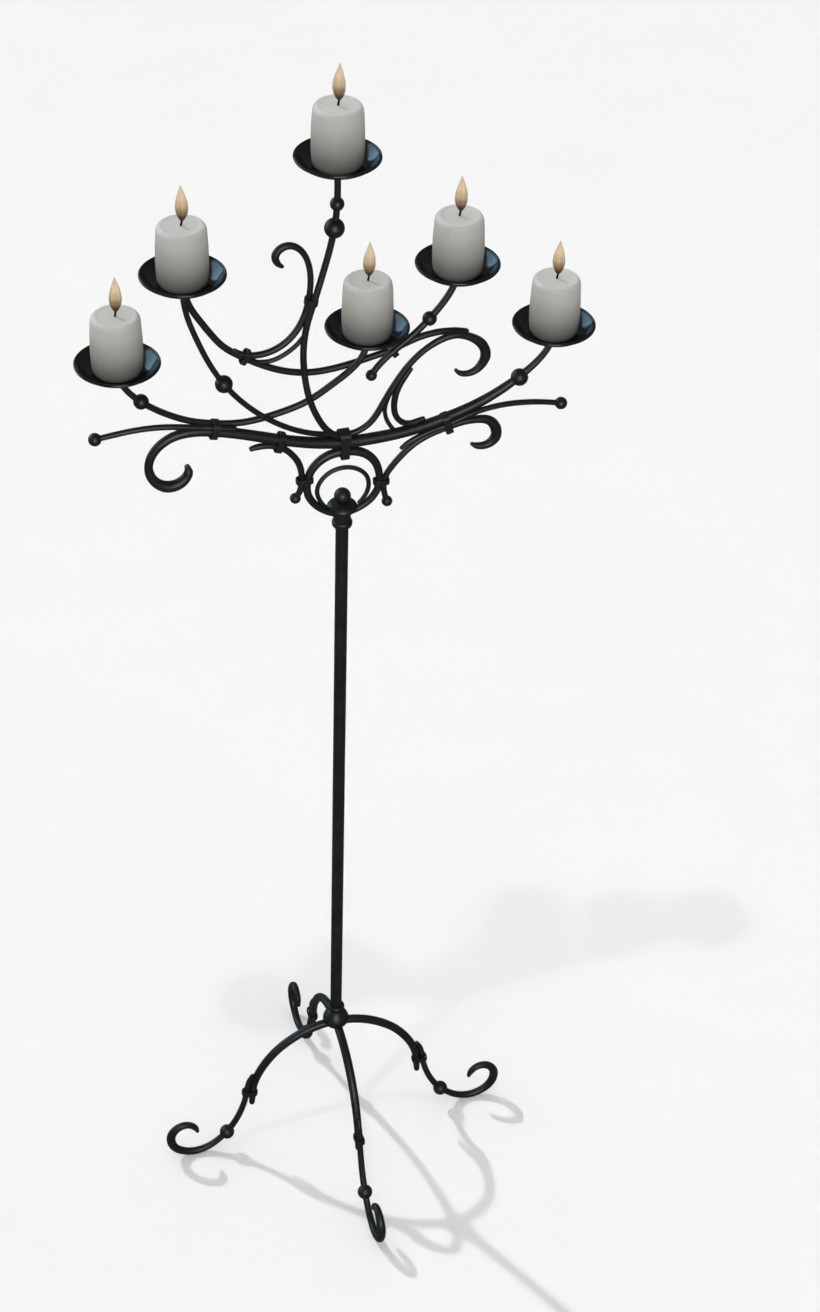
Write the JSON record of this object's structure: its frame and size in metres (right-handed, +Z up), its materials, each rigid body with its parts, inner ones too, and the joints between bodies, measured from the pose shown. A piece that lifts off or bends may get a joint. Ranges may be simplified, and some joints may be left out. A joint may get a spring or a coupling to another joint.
{
  "type": "floor candelabra",
  "caption": "Tall black wrought-iron floor candelabra with a flat scrolled head, round drip pans with pillar candles on prickets, a slim post and scrolled splayed feet.",
  "frame": {"origin": "on the floor under the post, at the middle of the foot circle", "axes": "+Z up along the post, +X to the right along the flat scrolled head, -Y towards the viewer"},
  "size_m": [0.6588, 0.5254, 1.7391],
  "materials": {
    "black_iron": "satin black paint over hand-forged iron",
    "pan_iron": "semi-gloss black paint on pressed sheet",
    "plain_steel": "plain turned steel",
    "wax": "smooth ivory-grey wax",
    "wick_cotton": "charred cotton cord"
  },
  "bodies": {
    "stand": {"hub": "black_iron", "hub_ring": "black_iron", "hub_bolt": "plain_steel", "leg_collars": "black_iron", "foot_balls": "black_iron", "post": "black_iron", "ferrule": "black_iron", "finial_cap": "black_iron", "finial_ball": "black_iron", "finial_stud": "plain_steel", "main_bow": "black_iron", "low_bow": "black_iron", "high_bow": "black_iron", "arm_a": "black_iron", "arm_b": "black_iron", "arm_c": "black_iron", "scroll_a": "black_iron", "tendril_a": "black_iron", "scroll_c": "black_iron", "cbar_outer": "black_iron", "cbar_inner": "black_iron", "ring_outer": "black_iron", "ring_inner": "black_iron", "left_tendril": "black_iron", "right_scroll": "black_iron", "right_whisker": "black_iron", "left_whisker": "black_iron", "centre_collar": "black_iron", "bar_collars": "black_iron", "arm_balls": "black_iron", "tip_balls": "black_iron", "leg_left": "black_iron", "leg_right": "black_iron", "leg_front": "black_iron", "leg_back": "black_iron", "foot_left": "black_iron", "foot_right": "black_iron", "foot_front": "black_iron", "foot_back": "black_iron", "pan_a": "pan_iron", "pan_b": "pan_iron", "pan_c": "pan_iron", "pan_d": "pan_iron", "pan_e": "pan_iron", "pan_f": "pan_iron", "pan_bosses": "black_iron", "prickets": "plain_steel"},
    "candle_a": {"candle_a": "wax", "wick_a": "wick_cotton"},
    "candle_b": {"candle_b": "wax", "wick_b": "wick_cotton"},
    "candle_c": {"candle_c": "wax", "wick_c": "wick_cotton"},
    "candle_d": {"candle_d": "wax", "wick_d": "wick_cotton"},
    "candle_e": {"candle_e": "wax", "wick_e": "wick_cotton"},
    "candle_f": {"candle_f": "wax", "wick_f": "wick_cotton"}
  },
  "joints": [
    {"name": "lift_candle_a", "type": "slide", "parent": "stand", "child": "candle_a", "axis": [0, 0, 1], "range_m": [0, 0.05]},
    {"name": "lift_candle_b", "type": "slide", "parent": "stand", "child": "candle_b", "axis": [0, 0, 1], "range_m": [0, 0.05]},
    {"name": "lift_candle_c", "type": "slide", "parent": "stand", "child": "candle_c", "axis": [0, 0, 1], "range_m": [0, 0.05]},
    {"name": "lift_candle_d", "type": "slide", "parent": "stand", "child": "candle_d", "axis": [0, 0, 1], "range_m": [0, 0.05]},
    {"name": "lift_candle_e", "type": "slide", "parent": "stand", "child": "candle_e", "axis": [0, 0, 1], "range_m": [0, 0.05]},
    {"name": "lift_candle_f", "type": "slide", "parent": "stand", "child": "candle_f", "axis": [0, 0, 1], "range_m": [0, 0.05]}
  ]
}
